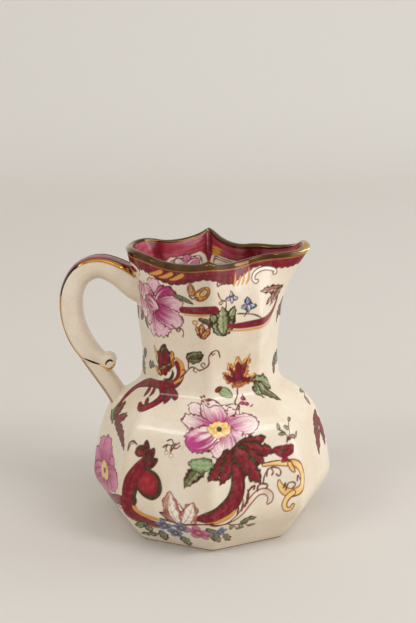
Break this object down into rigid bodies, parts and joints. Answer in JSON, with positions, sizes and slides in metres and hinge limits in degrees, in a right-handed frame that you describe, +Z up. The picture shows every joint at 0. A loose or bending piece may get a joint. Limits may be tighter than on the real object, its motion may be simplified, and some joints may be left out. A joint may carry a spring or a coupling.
{
  "type": "cream jug",
  "caption": "Octagonal glazed ceramic cream jug with a pinched spout, scalloped gilded lip and a strap handle that ends in a rolled spur.",
  "frame": {"origin": "the middle of the flat foot, on the surface that the jug stands on", "axes": "+Z up, +X towards the spout, -X towards the handle; the jug is the same on both sides of Y = 0"},
  "size_m": [0.1249, 0.1128, 0.131],
  "materials": {
    "glaze": "gloss",
    "slip": "gloss",
    "gilding": "polished"
  },
  "bodies": {
    "root": {"jug_body": "glaze", "handle": "glaze", "upper_handle_joint": "slip", "lower_handle_joint": "slip", "rim_gilding": "gilding", "foot_gilding": "gilding", "handle_gilding_front": "gilding", "handle_gilding_back": "gilding"}
  },
  "joints": []
}
